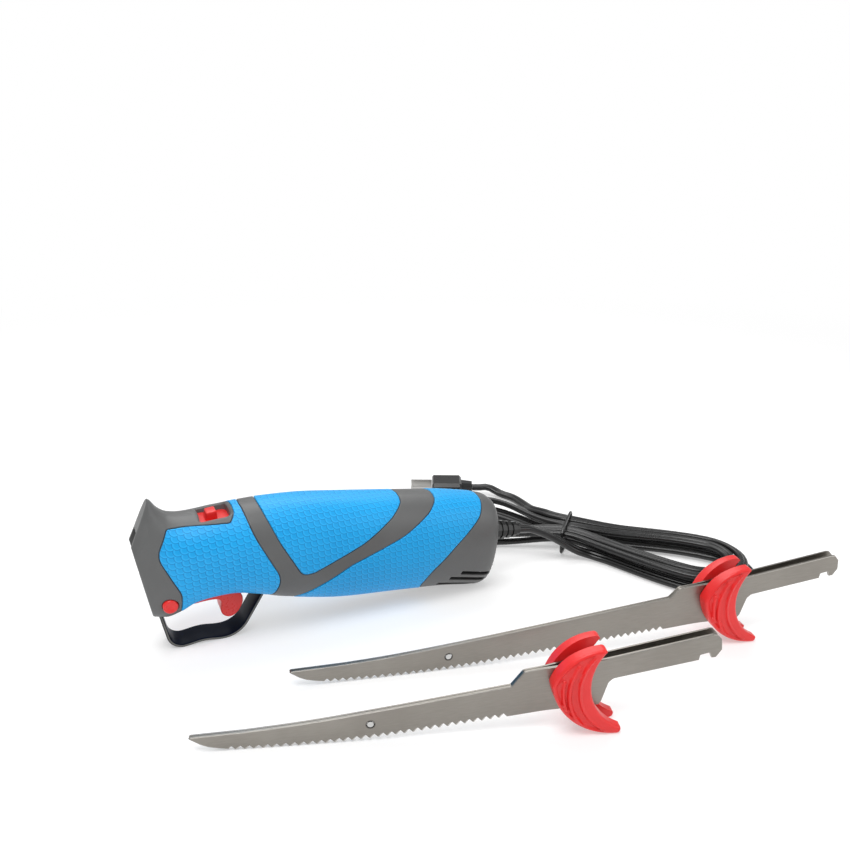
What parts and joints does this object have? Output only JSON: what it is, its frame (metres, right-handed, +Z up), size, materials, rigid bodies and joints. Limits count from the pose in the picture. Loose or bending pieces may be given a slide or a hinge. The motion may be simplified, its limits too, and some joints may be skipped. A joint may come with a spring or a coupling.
{
  "type": "electric fillet knife",
  "caption": "Corded electric fillet knife: trigger handle with a strip guard and a geared motor, loose pairs of serrated blades with red hand guards, and its cord in a tied hank.",
  "frame": {"origin": "on the surface the knife lies on, under the middle of the handle and the blade pairs", "axes": "+X from the handle's nose towards its cord end, +Y from the loose blades towards the handle, +Z up"},
  "size_m": [0.3647, 0.3101, 0.0851],
  "materials": {
    "grey_shell": "satin grey moulding",
    "blue_grip": "soft blue panel with a fine scale texture",
    "red_control": "red moulding",
    "red_guard": "bright red moulding",
    "guard_strip": "glossy dark navy",
    "blade_steel": "satin grey coated stainless steel",
    "bright_steel": "bright steel",
    "cord_black": "black jacket",
    "motor_steel": "plain steel",
    "nylon": "natural nylon",
    "switch_body": "dark switch body",
    "brass": "plain brass"
  },
  "bodies": {
    "housing": {"band_screw": "bright_steel", "cap_screw": "bright_steel", "cord_hank": "cord_black", "cord_tie": "cord_black", "front_bearing": "brass", "front_grip_left": "blue_grip", "front_grip_right": "blue_grip", "left_shell": "grey_shell", "middle_grip_left": "blue_grip", "middle_grip_right": "blue_grip", "motor_can": "motor_steel", "motor_end_bell": "nylon", "nose_screw": "bright_steel", "plug_body": "cord_black", "plug_lead": "cord_black", "plug_pin_left": "brass", "plug_pin_right": "brass", "power_cord": "cord_black", "power_switch": "switch_body", "rear_grip_left": "blue_grip", "rear_grip_right": "blue_grip", "release_spring_left": "bright_steel", "release_spring_right": "bright_steel", "right_shell": "grey_shell", "strain_relief": "cord_black", "trigger_guard": "guard_strip", "trigger_pin": "bright_steel", "trigger_spring": "bright_steel", "vee_screw": "bright_steel"},
    "slider": {"lock_slider": "red_control"},
    "lever": {"trigger": "red_control"},
    "button_left": {"release_button_left": "red_control"},
    "button_right": {"release_button_right": "red_control"},
    "rotor": {"armature": "motor_steel", "cooling_fan": "nylon"},
    "worm_wheel": {"drive_gear": "nylon", "gear_axle": "bright_steel"},
    "carrier_left": {"blade_carrier_left": "motor_steel"},
    "carrier_right": {"blade_carrier_right": "motor_steel"},
    "short_set": {"short_blade_left": "blade_steel", "short_guard_left": "red_guard", "short_blade_stud": "bright_steel"},
    "short_far": {"short_blade_right": "blade_steel", "short_guard_right": "red_guard"},
    "long_set": {"long_blade_left": "blade_steel", "long_guard_left": "red_guard", "long_blade_stud": "bright_steel"},
    "long_far": {"long_blade_right": "blade_steel", "long_guard_right": "red_guard"}
  },
  "joints": [
    {"name": "lock_slide", "type": "slide", "parent": "housing", "child": "slider", "axis": [1, 0, 0.0087], "range_m": [-0.0035, 0.0035]},
    {"name": "trigger_swing", "type": "hinge", "parent": "housing", "child": "lever", "pos_m": [-0.14995, 0.07223, 0.03036], "axis": [0, -1, 0], "range_deg": [0, 7], "stiffness_Nm_per_rad": 0.4, "springref_deg": -5.73, "deforming": ["trigger_spring"]},
    {"name": "release_left_press", "type": "slide", "parent": "housing", "child": "button_left", "axis": [0, 1, 0], "range_m": [0, 0.0025], "stiffness_N_per_m": 400, "springref_m": -0.002, "deforming": ["release_spring_left"]},
    {"name": "release_right_press", "type": "slide", "parent": "housing", "child": "button_right", "axis": [0, -1, 0], "range_m": [0, 0.0025], "stiffness_N_per_m": 400, "springref_m": -0.002, "deforming": ["release_spring_right"]},
    {"name": "rotor_spin", "type": "hinge", "parent": "housing", "child": "rotor", "pos_m": [-0.07642, 0.07223, 0.03618], "axis": [0.9903, 0, -0.1392], "continuous": true},
    {"name": "gear_spin", "type": "hinge", "parent": "housing", "child": "worm_wheel", "pos_m": [-0.10446, 0.07223, 0.05224], "axis": [0, 1, 0], "continuous": true},
    {"name": "carrier_left_slide", "type": "slide", "parent": "housing", "child": "carrier_left", "axis": [0.9903, 0, -0.1392], "range_m": [-0.004, 0.004]},
    {"name": "carrier_right_slide", "type": "slide", "parent": "housing", "child": "carrier_right", "axis": [0.9903, 0, -0.1392], "range_m": [-0.004, 0.004]},
    {"name": "short_lift", "type": "slide", "parent": "housing", "child": "short_set", "axis": [0, 0, 1], "range_m": [0, 0.1]},
    {"name": "short_far_slide", "type": "slide", "parent": "short_set", "child": "short_far", "axis": [0.9513, -0.2872, 0.1119], "range_m": [-0.004, 0.004]},
    {"name": "long_lift", "type": "slide", "parent": "housing", "child": "long_set", "axis": [0, 0, 1], "range_m": [0, 0.1]},
    {"name": "long_far_slide", "type": "slide", "parent": "long_set", "child": "long_far", "axis": [0.9767, -0.1987, 0.081], "range_m": [-0.004, 0.004]}
  ],
  "couplings": [
    {"joint": "gear_spin", "follows": "rotor_spin", "ratio": 0.0625},
    {"joint": "carrier_right_slide", "follows": "carrier_left_slide", "ratio": -1}
  ]
}
